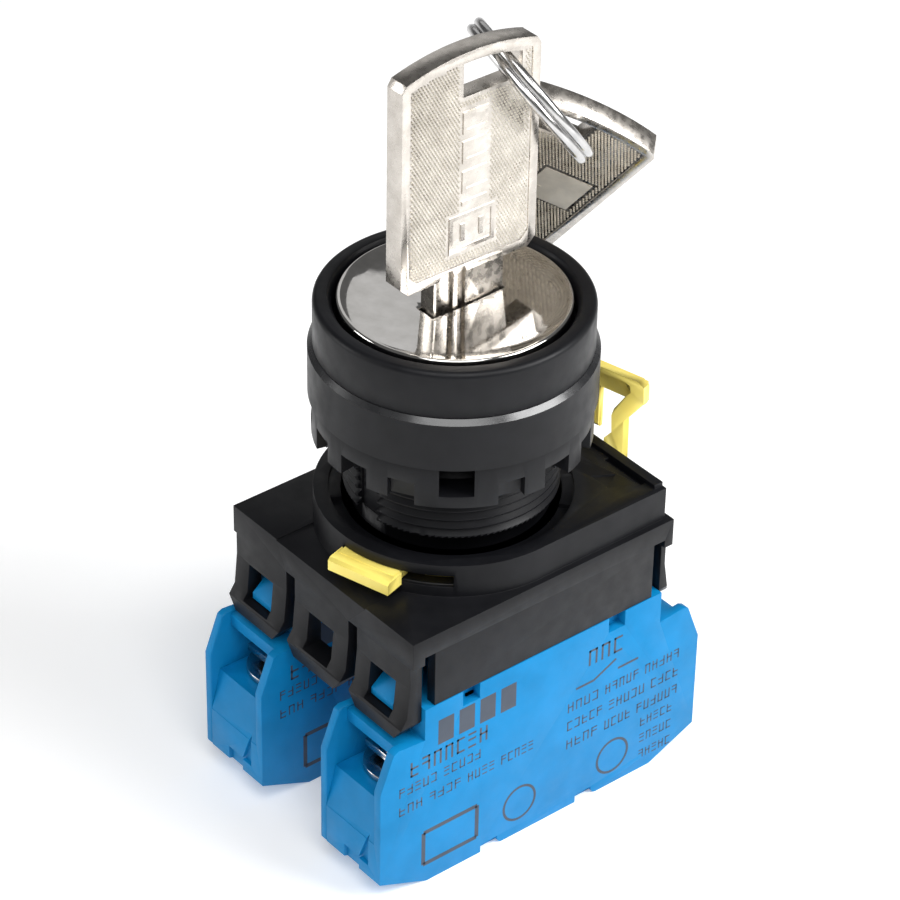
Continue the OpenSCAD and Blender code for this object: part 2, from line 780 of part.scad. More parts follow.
// Puts a block's piece in the left or the right bay
module at_left() {
    translate([-block_x, 0, 0]) children();
}

module at_right() {
    translate([block_x, 0, 0]) children();
}

bezel();
operator_housing();
panel_gasket();
locking_nut();
face_disc();
face_seal();
lock_sleeve();
lock_plug();
tumbler_wafers();
wafer_springs();
retaining_clip();
cam();
detent_pin();
detent_spring();
pusher_guide();
left_pusher();
right_pusher();
key();
spare_key();
key_ring();
adaptor_body();
ring_retainer();
locking_ring();
at_left() block_housing();  // left_block_housing
at_left() block_cover();  // left_block_cover
at_left() plunger();  // left_plunger
at_left() bridge();  // left_bridge
at_left() contact_spring();  // left_contact_spring
at_left() return_spring();  // left_return_spring
at_left() front_contact();  // left_front_contact
at_left() rear_contact();  // left_rear_contact
at_left() screws();  // left_screws
at_left() washers();  // left_washers
at_right() block_housing();  // right_block_housing
at_right() block_cover();  // right_block_cover
at_right() plunger();  // right_plunger
at_right() bridge();  // right_bridge
at_right() contact_spring();  // right_contact_spring
at_right() return_spring();  // right_return_spring
at_right() front_contact();  // right_front_contact
at_right() rear_contact();  // right_rear_contact
at_right() screws();  // right_screws
at_right() washers();  // right_washers
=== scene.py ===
import json
import math
import random

import bmesh
import bpy
from mathutils import Matrix, Vector


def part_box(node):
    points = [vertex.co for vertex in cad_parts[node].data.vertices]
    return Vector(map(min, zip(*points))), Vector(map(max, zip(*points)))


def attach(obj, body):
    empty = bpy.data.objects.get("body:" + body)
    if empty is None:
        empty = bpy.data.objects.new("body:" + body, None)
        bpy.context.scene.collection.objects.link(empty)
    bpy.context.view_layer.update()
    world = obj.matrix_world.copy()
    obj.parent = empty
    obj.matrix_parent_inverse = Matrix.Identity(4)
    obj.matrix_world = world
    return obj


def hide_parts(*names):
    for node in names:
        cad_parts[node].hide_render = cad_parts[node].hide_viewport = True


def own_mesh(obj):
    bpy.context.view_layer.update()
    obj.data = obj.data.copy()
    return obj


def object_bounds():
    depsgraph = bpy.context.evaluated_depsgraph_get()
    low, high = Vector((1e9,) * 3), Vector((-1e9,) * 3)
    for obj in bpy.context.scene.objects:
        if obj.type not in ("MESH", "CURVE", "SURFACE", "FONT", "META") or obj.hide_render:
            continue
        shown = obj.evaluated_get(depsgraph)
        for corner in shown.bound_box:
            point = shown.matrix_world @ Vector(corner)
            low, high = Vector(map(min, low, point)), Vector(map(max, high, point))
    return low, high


MM = 0.001
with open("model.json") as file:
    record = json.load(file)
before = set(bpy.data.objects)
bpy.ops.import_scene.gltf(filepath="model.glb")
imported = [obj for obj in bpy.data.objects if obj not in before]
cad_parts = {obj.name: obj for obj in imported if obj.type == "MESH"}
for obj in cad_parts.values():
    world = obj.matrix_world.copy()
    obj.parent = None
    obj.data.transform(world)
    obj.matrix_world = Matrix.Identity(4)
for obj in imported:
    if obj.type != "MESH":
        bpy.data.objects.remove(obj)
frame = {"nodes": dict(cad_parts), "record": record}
cad_low, cad_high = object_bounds()
NODES = frame["nodes"]
BODY_OF = {n: b for b, ns in frame["record"]["behaviour"]["bodies"].items() for n in ns}
SLOT_OF = {s["node"]: s["material_slot"] for s in frame["record"]["subparts"]}


# ------------------------------------------------------------------ materials

# The range of a noise's values that is spread over a property's whole range
NOISE_LOW, NOISE_HIGH = 0.3, 0.7


class Shader:
    """A new node material with a Principled shader, built up by short calls."""

    def __init__(self, name, color, metallic=0.0, roughness=0.4):
        self.material = bpy.data.materials.new(name)
        self.material.use_nodes = True
        self.nodes = self.material.node_tree.nodes
        self.links = self.material.node_tree.links
        self.bsdf = self.nodes["Principled BSDF"]
        self.bsdf.inputs["Base Color"].default_value = (*color, 1)
        self.bsdf.inputs["Metallic"].default_value = metallic
        self.bsdf.inputs["Roughness"].default_value = roughness
        self.place = self.nodes.new("ShaderNodeTexCoord").outputs["Object"]
        self.normal = None

    def noise(self, per_mm, detail):
        """Noise with about per_mm grains in a millimetre."""
        mapping = self.nodes.new("ShaderNodeMapping")
        mapping.inputs["Scale"].default_value = [per_mm / MM] * 3
        self.links.new(self.place, mapping.inputs["Vector"])
        noise = self.nodes.new("ShaderNodeTexNoise")
        noise.inputs["Scale"].default_value = 1.0
        noise.inputs["Detail"].default_value = detail
        self.links.new(mapping.outputs["Vector"], noise.inputs["Vector"])
        return noise.outputs["Fac"]

    def remap(self, value, low, high):
        """A noise's value, spread from low to high."""
        node = self.nodes.new("ShaderNodeMapRange")
        node.inputs["From Min"].default_value = NOISE_LOW
        node.inputs["From Max"].default_value = NOISE_HIGH
        node.inputs["To Min"].default_value = low
        node.inputs["To Max"].default_value = high
        self.links.new(value, node.inputs["Value"])
        return node.outputs["Result"]

    def roughness(self, value):
        self.links.new(value, self.bsdf.inputs["Roughness"])

    def mottle(self, value, dark, light):
        """Colour between dark and light, driven by a value from 0 to 1."""
        mix = self.nodes.new("ShaderNodeMix")
        mix.data_type = "RGBA"
        mix.inputs["A"].default_value = (*dark, 1)
        mix.inputs["B"].default_value = (*light, 1)
        self.links.new(value, mix.inputs["Factor"])
        self.links.new(mix.outputs["Result"], self.bsdf.inputs["Base Color"])

    def bump(self, value, height_mm):
        """A bump of a given height, on top of any that came before it."""
        node = self.nodes.new("ShaderNodeBump")
        node.inputs["Strength"].default_value = 1.0
        node.inputs["Distance"].default_value = height_mm * MM
        self.links.new(value, node.inputs["Height"])
        if self.normal:
            self.links.new(self.normal, node.inputs["Normal"])
        self.normal = node.outputs["Normal"]
        self.links.new(self.normal, self.bsdf.inputs["Normal"])


def moulded(name, dark, light, rough_low, rough_high, grain_mm=0.004, shine=0.5):
    """Injection-moulded plastic: fine spark-eroded grain, slow changes of gloss and slightly uneven faces."""
    shader = Shader(name, light)
    shader.bsdf.inputs["Specular IOR Level"].default_value = shine
    shader.mottle(shader.remap(shader.noise(0.25, 4), 0, 1), dark, light)
    shader.roughness(shader.remap(shader.noise(0.6, 5), rough_low, rough_high))
    shader.bump(shader.noise(9, 2), grain_mm)
    shader.bump(shader.noise(0.12, 2), 0.02)
    return shader.material


def plated(name, dark, light, rough_low, rough_high, grain_mm=0.004, metallic=1.0):
    """Plated metal with fine wear in its gloss and colour."""
    shader = Shader(name, light, metallic=metallic)
    shader.mottle(shader.remap(shader.noise(0.5, 5), 0, 1), dark, light)
    shader.roughness(shader.remap(shader.noise(1.3, 6), rough_low, rough_high))
    shader.bump(shader.noise(5, 4), grain_mm)
    return shader.material


def make_materials():
    """Every finish by name. Where the record has a material slot of that name, it is that slot's finish."""
    return {
        "black_plastic": moulded("black_plastic", (0.0036, 0.0038, 0.0050), (0.0058, 0.0061, 0.0078),
                                 0.38, 0.50, 0.004, 0.22),
        # Painted highlight for the ring over the flange's chamfer: partly a glossier finish, partly painted
        # light in its lighter colour and stronger reflection than the black plastic
        "glossy_painted_highlight": moulded("glossy_painted_highlight", (0.010, 0.0105, 0.012), (0.014, 0.0145, 0.016),
                                 0.20, 0.30, 0.001, 0.9),
        "black_rubber": moulded("black_rubber", (0.006, 0.006, 0.006), (0.010, 0.010, 0.010), 0.6, 0.8),
        "blue_plastic": moulded("blue_plastic", (0.000, 0.180, 0.42), (0.002, 0.215, 0.50),
                                0.40, 0.52, 0.003, 0.2),
        "yellow_plastic": moulded("yellow_plastic", (0.94, 0.75, 0.15), (1.0, 0.85, 0.21), 0.34, 0.48),
        "white_plastic": moulded("white_plastic", (0.74, 0.74, 0.70), (0.82, 0.82, 0.78), 0.35, 0.5),
        "chrome": plated("chrome", (0.60, 0.585, 0.56), (0.72, 0.70, 0.68), 0.03, 0.09, 0.0004),
        "nickel": plated("nickel", (0.50, 0.465, 0.42), (0.66, 0.62, 0.57), 0.20, 0.36, 0.006),
        "knurled_nickel": plated("knurled_nickel", (0.56, 0.52, 0.45), (0.72, 0.68, 0.60), 0.26, 0.38,
                                 metallic=0.85),
        "worn_nickel": plated("worn_nickel", (0.66, 0.60, 0.50), (0.86, 0.79, 0.67), 0.34, 0.46,
                              metallic=0.45),
        "steel": plated("steel", (0.45, 0.45, 0.45), (0.62, 0.61, 0.60), 0.14, 0.26, 0.002),
        "brass": plated("brass", (0.55, 0.38, 0.14), (0.68, 0.50, 0.22), 0.22, 0.36, 0.003),
        "copper": plated("copper", (0.60, 0.30, 0.18), (0.70, 0.40, 0.26), 0.24, 0.36, 0.003),
        "print": moulded("print", (0.050, 0.062, 0.085), (0.066, 0.080, 0.105), 0.5, 0.6, 0.002, 0.3),
    }


MATERIALS = make_materials()


# ------------------------------------------------------------------ mesh helpers

WELD_MM = 0.0005     # corners closer than this become one
FLAT_DEG = 0.4       # neighbouring faces that differ by less than this become one flat face
SHARP_DEG = 40       # edges of a rounded piece that are sharper than this stay sharp


def add_object(name, mesh, body, slot, *replaced, smooth_deg=32.0):
    """Puts a mesh into the scene as a piece of the object that rides on a CAD body."""
    obj = bpy.data.objects.new(name, mesh)
    bpy.context.scene.collection.objects.link(obj)
    mesh.materials.clear()
    mesh.materials.append(MATERIALS[slot])
    mesh.shade_smooth()
    mesh.set_sharp_from_angle(angle=math.radians(smooth_deg))
    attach(obj, body)
    if replaced:
        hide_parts(*replaced)
    return obj


def mesh_from(name, verts, faces):
    mesh = bpy.data.meshes.new(name)
    mesh.from_pydata([tuple(v) for v in verts], [], faces)
    mesh.update()
    return mesh


def welded(node, flat_deg=FLAT_DEG):
    """A clean copy of a CAD node's mesh: shared corners and, unless flat_deg is 0, flat faces in one piece."""
    source = NODES[node]
    bm = bmesh.new()
    bm.from_mesh(source.data)
    bmesh.ops.remove_doubles(bm, verts=bm.verts, dist=WELD_MM * MM)
    if flat_deg:
        bmesh.ops.dissolve_limit(bm, angle_limit=math.radians(flat_deg), verts=bm.verts, edges=bm.edges)
    mesh = bpy.data.meshes.new(source.name + "_moulded")
    bm.to_mesh(mesh)
    bm.free()
    return mesh


def apply_modifiers(obj):
    """Makes the modified mesh the object's own mesh."""
    graph = bpy.context.evaluated_depsgraph_get()
    made = bpy.data.meshes.new_from_object(obj.evaluated_get(graph))
    obj.modifiers.clear()
    obj.data = made


def rounded(node, width_mm, segments=2, edge_deg=34.0):
    """A CAD node with its sharp edges rounded, shown in the node's place."""
    obj = add_object(node + "_body", welded(node), BODY_OF[node], SLOT_OF[node], node)
    bevel = obj.modifiers.new("edges", "BEVEL")
    bevel.width = width_mm * MM
    bevel.segments = segments
    bevel.limit_method = "ANGLE"
    bevel.angle_limit = math.radians(edge_deg)
    bevel.use_clamp_overlap = True
    bevel.miter_outer = "MITER_ARC"
    apply_modifiers(obj)
    obj.data.shade_smooth()
    obj.data.set_sharp_from_angle(angle=math.radians(SHARP_DEG))


def lathe(name, profile, steps=256):
    """A closed ring mesh turned about Z from a closed (radius, z) outline in millimetres."""
    count = len(profile)
    verts = [
        (r * MM * math.cos(2 * math.pi * i / steps), r * MM * math.sin(2 * math.pi * i / steps), z * MM)
        for i in range(steps)
        for r, z in profile
    ]
    faces = [
        (i * count + k, ((i + 1) % steps) * count + k,
         ((i + 1) % steps) * count + (k + 1) % count, i * count + (k + 1) % count)
        for i in range(steps)
        for k in range(count)
    ]
    return mesh_from(name, verts, faces)


def sweep(name, points, radius, sides=16):
    """A round wire along points, drawn in at its two ends."""
    end_scales = (0.45, 0.85)
    verts, faces = [], []
    side = None
    for i, p in enumerate(points):
        ahead = points[min(i + 1, len(points) - 1)] - points[max(i - 1, 0)]
        ahead.normalize()
        if side is None:
            side = ahead.orthogonal().normalized()
        side = (side - ahead * side.dot(ahead)).normalized()
        other = ahead.cross(side)
        from_end = min(i, len(points) - 1 - i)
        r = radius * (end_scales[from_end] if from_end < len(end_scales) else 1.0)
        for k in range(sides):
            a = 2 * math.pi * k / sides
            verts.append(p + (side * math.cos(a) + other * math.sin(a)) * r)
    for i in range(len(points) - 1):
        for k in range(sides):
            a, b = i * sides + k, i * sides + (k + 1) % sides
            faces.append((a, b, b + sides, a + sides))
    faces.append(tuple(reversed(range(sides))))
    faces.append(tuple(range((len(points) - 1) * sides, len(points) * sides)))
    return mesh_from(name, verts, faces)


def box_into(verts, faces, low, high):
    """Adds a closed box between two corners, in millimetres."""
    start = len(verts)
    for x in (low[0], high[0]):
        for y in (low[1], high[1]):
            for z in (low[2], high[2]):
                verts.append(Vector((x, y, z)) * MM)
    for quad in ((0, 1, 3, 2), (4, 6, 7, 5), (0, 4, 5, 1), (2, 3, 7, 6), (0, 2, 6, 4), (1, 5, 7, 3)):
        faces.append(tuple(start + k for k in quad))


# ------------------------------------------------------------------ keys
# Both keys' heads are worked out in the inserted key's place, in millimetres. A head is a flat plate, thin
# along X, with a sunk panel on both sides.

HEAD_LOW, HEAD_SIDE = 14.0, 23.0         # the head's foot, and the height of its straight sides
HEAD_MID, HEAD_HALF = 0.68, 8.425        # its middle and half width along Y
ARCH = 1.35                              # rise of its arched top
PANEL_X, RAISED_X = 1.03, 1.15           # from the middle plane to the panel, and to the raised marks
SINK = 0.03                              # how far a mark starts below the panel
BORDER, TOP_BORDER = 1, 1.05             # plain border round the panel, and below the arch
HOLE_Y, HOLE_LOW = (-0.3, 6.9), 33.5     # the ring's hole
HOLE_GAP = 0.45                          # what is left plain round it
KEY_EDGE, KEY_EDGE_DEG = 0.16, 30

KNURL_PITCH, ROW_PITCH = 0.38, 0.86      # from pyramid to pyramid, and from row to row in such pitches
KNURL_GAP = 0.22                         # from the pyramids' middles to the border
KNURL_BASE, KNURL_TIP = 0.42, 0.3        # half width of a pyramid in pitches, and of its tip in bases
KNURL_STRETCH = 1.15                     # height of a pyramid in widths
KNURL_PROUD = 0.02                       # how far the tips stand above the raised marks

BAR_LOW, BAR_HIGH, BAR_LINE = -0.3, 2.8, 0.45
BRACKET_TOPS, BRACKET_HEIGHT = (31.9, 28.7, 25.4), 2.4
LOWEST_BAR = (21.6, 22.1)
MARK_FRAME, MARK_LINE = ((-1.8, 16.6), (3.8, 20.7)), 0.42
FRAME_BARS, FRAME_BAR_WIDTH, FRAME_BAR_Z = (-0.4, 1.9), 0.5, (17.7, 19.6)
STAMP = ((-5.6, 22.2), (-0.2, 27.8))
STAMP_MARK, STAMP_MARK_SIDE, STAMP_LINE = (-1.5, 23.4), 0.9, 0.12

# What is kept clear of knurling on the front and on the back: lowest y and z, then highest y and z
FRONT_CLEAR = ((-0.7, 20.9, 3.2, 32.4), (-2.2, 16.2, 4.2, 21.1))
BACK_CLEAR = ((-5.9, 21.9, 0.1, 28.1),)

# The spare hangs with its ring hole at SPARE_HOLE, turned about X, then Y, then Z
KEY_HOLE = Vector((0, 3.3, 35))
SPARE_HOLE = Vector((-4.5, 15.8, 23.5))
SPARE_TURN = (31.2, -26.0, 131.7)

# The split ring: outside diameter, wire, half the distance between its layers, and its turn about Y and Z
RING_OUT, WIRE, LAYER = 17.4, 1.05, 0.47
RING_TURN = (125.7, -107.0)
RING_FROM, RING_TO, RING_STEPS = 0.07, 1.93, 220     # where the wire starts and ends, in turns
CROSSING, CROSSING_TURNS = 250.0, 0.14   # where the layers cross over, in degrees, and over how many turns
TIP_TURNS, TIP_DROP = 0.035, 0.12        # the stretch at each end that bends in, and by how much


def head_top(y):
    """Height of the key head's arched top at y."""
    radius = (HEAD_HALF ** 2 + ARCH ** 2) / (2 * ARCH)
    return HEAD_LOW + HEAD_SIDE + ARCH - radius + math.sqrt(radius ** 2 - (y - HEAD_MID) ** 2)


def on_panel(y, z):
    """True where there is room for a pyramid between the panel's border and the ring's hole."""
    if abs(y - HEAD_MID) > HEAD_HALF - BORDER - KNURL_GAP or z < HEAD_LOW + BORDER + KNURL_GAP:
        return False
    if z > head_top(y) - TOP_BORDER - KNURL_GAP:
        return False
    return not (HOLE_Y[0] - HOLE_GAP < y < HOLE_Y[1] + HOLE_GAP and z > HOLE_LOW - HOLE_GAP)


def in_one_of(areas, y, z):
    """True inside any of some rectangles."""
    return any(y0 < y < y1 and z0 < z < z1 for y0, z0, y1, z1 in areas)


def knurl_mesh(name, facing, clear_areas):
    """Rows of small pyramids over one side of the key's head. facing is +1 or -1 along X."""
    verts, faces = [], []
    base = KNURL_PITCH * KNURL_BASE
    corners = ((-base, 0), (0, -base * KNURL_STRETCH), (base, 0), (0, base * KNURL_STRETCH))
    x0, x1 = facing * (PANEL_X - SINK), facing * (RAISED_X + KNURL_PROUD)
    order = (0, 1, 2, 3) if facing > 0 else (3, 2, 1, 0)
    row, z = 0, HEAD_LOW + BORDER
    while z < HEAD_LOW + HEAD_SIDE + ARCH:
        y = HEAD_MID - HEAD_HALF + (row % 2) * KNURL_PITCH / 2
        while y < HEAD_MID + HEAD_HALF:
            if on_panel(y, z) and not in_one_of(clear_areas, y, z):
                start = len(verts)
                verts += [Vector((x0, y + dy, z + dz)) * MM for dy, dz in corners]
                verts += [Vector((x1, y + dy * KNURL_TIP, z + dz * KNURL_TIP)) * MM for dy, dz in corners]
                faces.append(tuple(start + 4 + k for k in order))
                faces.append(tuple(start + k for k in reversed(order)))
                for a, b in zip(order, order[1:] + order[:1]):
                    faces.append((start + a, start + b, start + 4 + b, start + 4 + a))
            y += KNURL_PITCH
        z += KNURL_PITCH * ROW_PITCH
        row += 1
    return mesh_from(name, verts, faces)


def bars_mesh(name):
    """Plain raised brackets, a bar, and a frame with two short bars, in place of the maker's lettering."""
    verts, faces = [], []

    def bar(y0, z0, y1, z1):
        box_into(verts, faces, (PANEL_X - SINK, y0, z0), (RAISED_X, y1, z1))

    for top in BRACKET_TOPS:
        low = top - BRACKET_HEIGHT
        bar(BAR_LOW, top - BAR_LINE, BAR_HIGH, top)
        bar(BAR_LOW, low, BAR_HIGH, low + BAR_LINE)
        bar(BAR_LOW, low + BAR_LINE, BAR_LOW + BAR_LINE, top - BAR_LINE)
    bar(BAR_LOW, LOWEST_BAR[0], BAR_HIGH, LOWEST_BAR[1])
    (y0, z0), (y1, z1) = MARK_FRAME
    bar(y0, z0, y1, z0 + MARK_LINE)
    bar(y0, z1 - MARK_LINE, y1, z1)
    bar(y0, z0 + MARK_LINE, y0 + MARK_LINE, z1 - MARK_LINE)
    bar(y1 - MARK_LINE, z0 + MARK_LINE, y1, z1 - MARK_LINE)
    for y in FRAME_BARS:
        bar(y, FRAME_BAR_Z[0], y + FRAME_BAR_WIDTH, FRAME_BAR_Z[1])
    return mesh_from(name, verts, faces)


def stamp_mesh(name):
    """The smooth square, with a very small square outline on it, on the head's back."""
    verts, faces = [], []
    plate_out, mark_out = PANEL_X + 0.05, PANEL_X + 0.09
    (y0, z0), (y1, z1) = STAMP
    box_into(verts, faces, (-plate_out, y0, z0), (-PANEL_X + SINK, y1, z1))
    y, z = STAMP_MARK
    side, line, inset = STAMP_MARK_SIDE, STAMP_LINE, 0.1
    for y0, z0, wide, high in ((y, z, side, line), (y, z + side, side, line),
                               (y, z + inset, line, side - inset),
                               (y + side - line, z + inset, line, side - inset)):
        box_into(verts, faces, (-mark_out, y0, z0), (-plate_out + 0.01, y0 + wide, z0 + high))
    return mesh_from(name, verts, faces)


def spare_matrix():
    """Moves a piece of the inserted key to where the same piece of the hanging spare is."""
    x, y, z = (math.radians(a) for a in SPARE_TURN)
    rotation = Matrix.Rotation(z, 4, "Z") @ Matrix.Rotation(y, 4, "Y") @ Matrix.Rotation(x, 4, "X")
    return Matrix.Translation(SPARE_HOLE * MM) @ rotation @ Matrix.Translation(-KEY_HOLE * MM)


def build_keys():
    rounded("key", KEY_EDGE, 2, KEY_EDGE_DEG)
    rounded("spare_key", KEY_EDGE, 2, KEY_EDGE_DEG)
    for node, matrix, finish in (("key", Matrix.Identity(4), "knurled_nickel"),
                                 ("spare_key", spare_matrix(), "worn_nickel")):
        pieces = ((knurl_mesh(f"{node}_front_knurl", 1, FRONT_CLEAR), finish),
                  (knurl_mesh(f"{node}_back_knurl", -1, BACK_CLEAR), finish),
                  (bars_mesh(f"{node}_raised_bars"), "nickel"),
                  (stamp_mesh(f"{node}_stamp"), finish))
        for mesh, look in pieces:
            mesh.transform(matrix)
            add_object(mesh.name, mesh, BODY_OF[node], look, smooth_deg=10)


def build_split_ring():
    """A wire wound twice round, crossing over from one layer to the other, with its tips bent in a little."""
    low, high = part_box("key_ring")
    centre = (low + high) / 2
    y_turn, z_turn = (math.radians(a) for a in RING_TURN)
    rotation = (Matrix.Rotation(z_turn, 4, "Z") @ Matrix.Rotation(y_turn, 4, "Y")).to_3x3()
    radius = (RING_OUT - WIRE) / 2
    points = []
    for i in range(RING_STEPS + 1):
        t = RING_FROM + (RING_TO - RING_FROM) * i / RING_STEPS
        s = min(1, max(0, (t - 1) / CROSSING_TURNS + 0.5))
        height = LAYER * (2 * (s * s * (3 - 2 * s)) - 1)
        tip = max(0, RING_FROM + TIP_TURNS - t, t - RING_TO + TIP_TURNS) / TIP_TURNS
        a = 2 * math.pi * t + math.radians(CROSSING)
        r = radius - TIP_DROP * tip * tip
        points.append(centre + rotation @ (Vector((r * math.cos(a), r * math.sin(a), height)) * MM))
    mesh = sweep("split_ring_wire", points, WIRE / 2 * MM)
    add_object("split_ring_wire", mesh, "key_ring", "steel", "key_ring", smooth_deg=60)


# ------------------------------------------------------------------ operator and adaptor

# Outline of a thin ring laid over the chamfer round the flange, as (radius, z). Its lighter, glossier black is
# a painted highlight: the light line along the chamfer, painted into the ring's colour
FLANGE_CHAMFER_HIGHLIGHT = ((13.99, 5.70), (14.46, 5.23), (14.505, 5.255), (14.005, 5.76))


def build_operator():
    rounded("bezel", 0.1)
    add_object("operator_housing_body", welded("operator_housing", 0), "switch_body", "black_plastic",
               "operator_housing", smooth_deg=28)
    # A thin ring over the flange's chamfer in a lighter, glossier black: a painted highlight for the chamfer's
    # light line
    chamfer = lathe("flange_chamfer_highlight", FLANGE_CHAMFER_HIGHLIGHT)
    add_object("flange_chamfer_highlight", chamfer, "switch_body", "glossy_painted_highlight", smooth_deg=60)
    rounded("locking_nut", 0.16)
    rounded("face_disc", 0.08)
    for node in ("lock_sleeve", "lock_plug", "pusher_guide", "cam", "left_pusher", "right_pusher"):
        rounded(node, 0.08, 1)


def build_adaptor():
    rounded("adaptor_body", 0.09)
    rounded("ring_retainer", 0.1, 1)
    rounded("locking_ring", 0.14, 3)


# ------------------------------------------------------------------ contact blocks
# The print is a thin skin on a block's +X side, laid out in millimetres along Y and Z.

# Each piece of a block, and the width of its rounded edges
BLOCK_PIECES = {"block_housing": 0.15, "block_cover": 0.15, "plunger": 0.08, "bridge": 0.08,
                "front_contact": 0.08, "rear_contact": 0.08, "screws": 0.08, "washers": 0.08}

PRINT_IN, PRINT_OUT = -0.02, 0.006       # the skin's inner and outer side, from the block's side

# Dark bars: where each starts along Y, their width, and their lowest and highest z
BARS_Y, BARS_WIDTH, BARS_Z = (-13.3, -10.6, -7.9, -5.2), 2.0, (-29.7, -26.6)

# Rows of strokes: random seed, y from and to, z, height, and how many words
PRINT_ROWS = (
    (1, -16.8, -6.4, -32.2, 1.9, 1),
    (2, -18.2, -7.4, -34.2, 1.15, 2),
    (3, -18.2, -0.4, -36.6, 1.15, 4),
    (4, 6.5, 11.6, -29.4, 2.0, 1),
    (5, 3.9, 19.5, -34.3, 1.2, 3),
    (6, 3.9, 19.5, -36.7, 1.2, 3),
    (7, 3.9, 19.5, -39.1, 1.2, 3),
    (9, 14.2, 18.9, -41.2, 1.1, 1),
    (10, 14.2, 18.9, -43.4, 1.1, 1),
    (11, 14.2, 18.9, -45.6, 1.1, 1),
)
LETTER_WIDTH, LETTER_FILL = 0.78, 0.68   # a letter's room in row heights, and how much of it has strokes
WORD_GAP, STROKE_THIN = 0.55, 0.13       # the gap between words and a stroke's thickness, in row heights

# Straight lines: width, start and end. The first three are the symbol of a normally open contact, and the
# other four are an empty frame.
PRINT_LINES = (
    (0.28, (4.9, -31.6), (7.3, -31.6)),
    (0.28, (7.3, -31.6), (10.3, -30.2)),
    (0.28, (10.6, -31.6), (13.4, -31.6)),
    (0.5, (-15, -44.6), (-8, -44.6)),
    (0.5, (-15, -40.4), (-8, -40.4)),
    (0.5, (-15, -44.6), (-15, -40.4)),
    (0.5, (-8, -44.6), (-8, -40.4)),
)
CIRCLES, CIRCLE_R, CIRCLE_SIDES, CIRCLE_LINE = ((-2.3, -43.0), (10.4, -43.2)), 2.1, 28, 0.3


def word_row(verts, faces, x, seed, y0, y1, z, height, words):
    """A row of random strokes that stands in for a line of small print."""
    rng = random.Random(seed)
    lengths = [rng.uniform(0.6, 1.4) for _ in range(words)]
    gap = height * WORD_GAP
    scale = (y1 - y0 - gap * (words - 1)) / sum(lengths)
    thin = height * STROKE_THIN
    y = y0
    for length in lengths:
        run = length * scale
        count = max(1, int(run / (height * LETTER_WIDTH)))
        step = run / count
        for k in range(count):
            left, right = y + k * step, y + k * step + step * LETTER_FILL
            strokes = [(left, z, left + thin, z + height), (right - thin, z, right, z + height),
                       (left, z, right, z + thin), (left, z + height - thin, right, z + height),
                       (left, z + height / 2, right, z + height / 2 + thin)]
            for a, b, c, d in rng.sample(strokes, 3):
                box_into(verts, faces, (x + PRINT_IN, a, b), (x + PRINT_OUT, c, d))
        y += run + gap


def stroke(verts, faces, x, start, end, width):
    """A straight printed line in the Y-Z plane."""
    a, b = Vector((0, *start)), Vector((0, *end))
    along = (b - a).normalized()
    across = Vector((0, -along.z, along.y)) * width / 2
    base = len(verts)
    for depth in (x + PRINT_IN, x + PRINT_OUT):
        for p in (a - across, a + across, b + across, b - across):
            verts.append(Vector((depth, p.y, p.z)) * MM)
    faces += [tuple(base + k for k in quad) for quad in
              ((0, 1, 2, 3), (4, 7, 6, 5), (0, 4, 5, 1), (1, 5, 6, 2), (2, 6, 7, 3), (3, 7, 4, 0))]


def on_circle(centre, k):
    """The k-th corner of a printed circle."""
    a = 2 * math.pi * k / CIRCLE_SIDES
    return centre[0] + CIRCLE_R * math.cos(a), centre[1] + CIRCLE_R * math.sin(a)


def side_print(side):
    """Generic print: dark bars, rows of strokes, a contact symbol, an empty frame and two plain circles."""
    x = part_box(f"{side}_block_housing")[1].x / MM
    verts, faces = [], []
    for y in BARS_Y:
        box_into(verts, faces, (x + PRINT_IN, y, BARS_Z[0]), (x + PRINT_OUT, y + BARS_WIDTH, BARS_Z[1]))
    for row in PRINT_ROWS:
        word_row(verts, faces, x, *row)
    for width, start, end in PRINT_LINES:
        stroke(verts, faces, x, start, end, width)
    for centre in CIRCLES:
        for k in range(CIRCLE_SIDES):
            stroke(verts, faces, x, on_circle(centre, k), on_circle(centre, k + 1), CIRCLE_LINE)
    mesh = mesh_from(f"{side}_block_print", verts, faces)
    add_object(f"{side}_block_print", mesh, "switch_body", "print", smooth_deg=10)


def return_spring(side):
    """The spring under the plunger, a welded copy of its CAD mesh with a mesh of its own. In the real switch
    it shortens as the plunger goes down; here its shape stays as it is.
    """
    node = f"{side}_return_spring"
    spring = add_object(f"{node}_wire", welded(node, 0), "switch_body", "steel", node, smooth_deg=60)
    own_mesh(spring)


def build_blocks():
    for side in ("left", "right"):
        for piece, edge in BLOCK_PIECES.items():
            rounded(f"{side}_{piece}", edge)
        return_spring(side)
        side_print(side)


def show_the_rest():
    """The CAD nodes that keep their own mesh get their material: springs, seals, clip, wafers, detent pin."""
    for node, obj in NODES.items():
        if not obj.hide_render:
            obj.data.materials.clear()
            obj.data.materials.append(MATERIALS[SLOT_OF[node]])


# ------------------------------------------------------------------ stage, light and camera

FLOOR_HALF = 6.0                         # in metres
FLOOR_GLOW, AMBIENT = 0.24, 0.13

# Area lights: name, place, target and size in millimetres, and power in watts
LIGHTS = (
    ("right_back_softbox", (300, 205, 250), (0, 0, 0), (270, 270), 2.3),
    ("left_softbox", (-290, -345, 120), (0, 0, -10), (160, 220), 0.6),
    ("front_top_softbox", (190, -150, 350), (0, 0, 0), (330, 330), 1.3),
    ("back_card", (-330, 225, 185), (0, 0, 10), (230, 230), 0.09),
)

# The camera: where it stands as seen from its target, how it is rolled, and its lens
AZIMUTH, ELEVATION, ROLL = (math.radians(a) for a in (50.195, 35.489, 1.154))
DISTANCE, TARGET = 383.124 * MM, Vector((0, 0, -10 * MM))
SENSOR_WIDTH, FOCAL_LENGTH = 36, 151.91
SHIFT = (-0.0017, 0.0207)
CLIP = (0.02, 20)


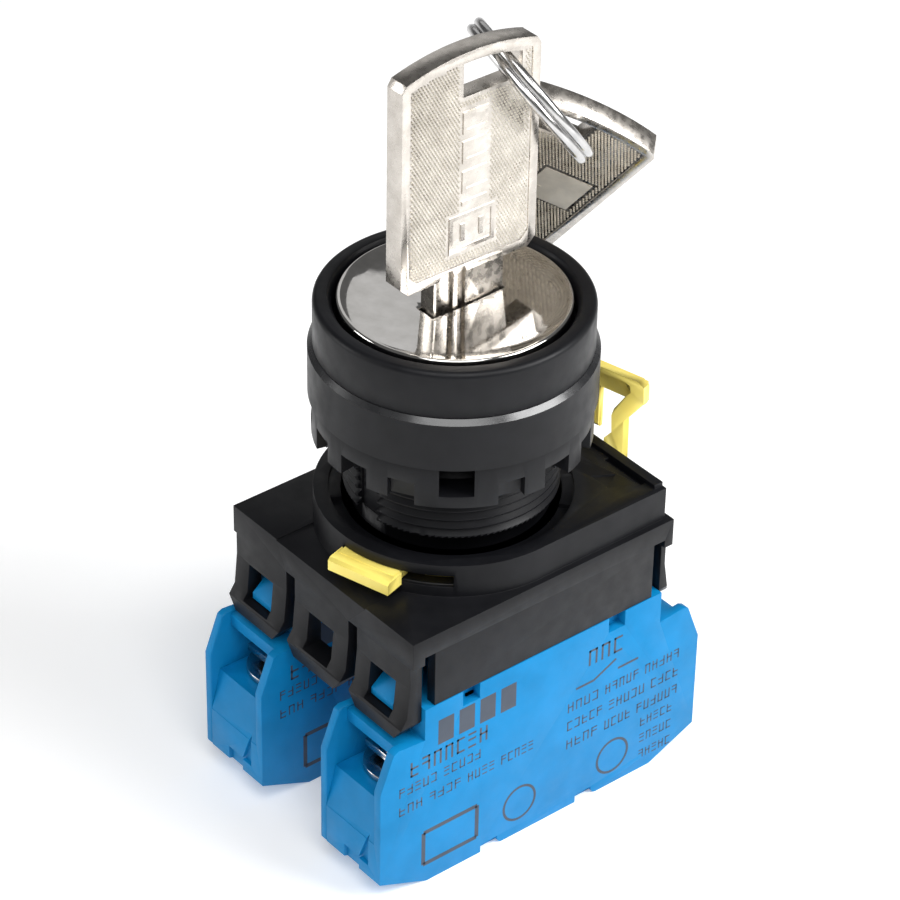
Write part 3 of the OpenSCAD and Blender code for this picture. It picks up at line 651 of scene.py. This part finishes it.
def build_stage():
    half, z = FLOOR_HALF, cad_low.z
    corners = [(-half, -half, z), (half, -half, z), (half, half, z), (-half, half, z)]
    mesh = mesh_from("floor", corners, [(0, 1, 2, 3)])
    floor = bpy.data.objects.new("floor", mesh)
    bpy.context.scene.collection.objects.link(floor)
    paper = Shader("paper", (0.93, 0.93, 0.93), roughness=0.9)
    paper.mottle(paper.remap(paper.noise(0.02, 2), 0, 1), (0.92, 0.92, 0.92), (0.94, 0.94, 0.94))
    paper.bsdf.inputs["Emission Color"].default_value = (1, 1, 1, 1)
    paper.bsdf.inputs["Emission Strength"].default_value = FLOOR_GLOW
    mesh.materials.append(paper.material)


def build_lights():
    world = bpy.data.worlds.new("studio")
    bpy.context.scene.world = world
    world.use_nodes = True
    world.node_tree.nodes["Background"].inputs["Color"].default_value = (1, 1, 1, 1)
    world.node_tree.nodes["Background"].inputs["Strength"].default_value = AMBIENT
    for name, place, target, size, power in LIGHTS:
        data = bpy.data.lights.new(name, "AREA")
        data.shape = "RECTANGLE"
        data.size, data.size_y = (length * MM for length in size)
        data.energy = power
        light = bpy.data.objects.new(name, data)
        bpy.context.scene.collection.objects.link(light)
        light.location = Vector(place) * MM
        aim = Vector(target) * MM - light.location
        light.rotation_euler = aim.to_track_quat("-Z", "Y").to_euler()


def build_camera():
    back = Vector((math.sin(AZIMUTH) * math.cos(ELEVATION), -math.cos(AZIMUTH) * math.cos(ELEVATION),
                   math.sin(ELEVATION)))
    level = Vector((math.cos(AZIMUTH), math.sin(AZIMUTH), 0))
    upright = back.cross(level)
    right = level * math.cos(ROLL) + upright * math.sin(ROLL)
    up = upright * math.cos(ROLL) - level * math.sin(ROLL)
    data = bpy.data.cameras.new("camera")
    data.sensor_width = SENSOR_WIDTH
    data.lens = FOCAL_LENGTH
    data.shift_x, data.shift_y = SHIFT
    data.clip_start, data.clip_end = CLIP
    camera = bpy.data.objects.new("camera", data)
    bpy.context.scene.collection.objects.link(camera)
    turn = Matrix((right, up, back)).transposed().to_4x4()
    camera.matrix_world = Matrix.Translation(TARGET + back * DISTANCE) @ turn
    bpy.context.scene.camera = camera


build_operator()
build_adaptor()
build_blocks()
build_keys()
build_split_ring()
show_the_rest()
build_stage()
build_lights()
build_camera()
bpy.context.scene.view_settings.view_transform = "Standard"
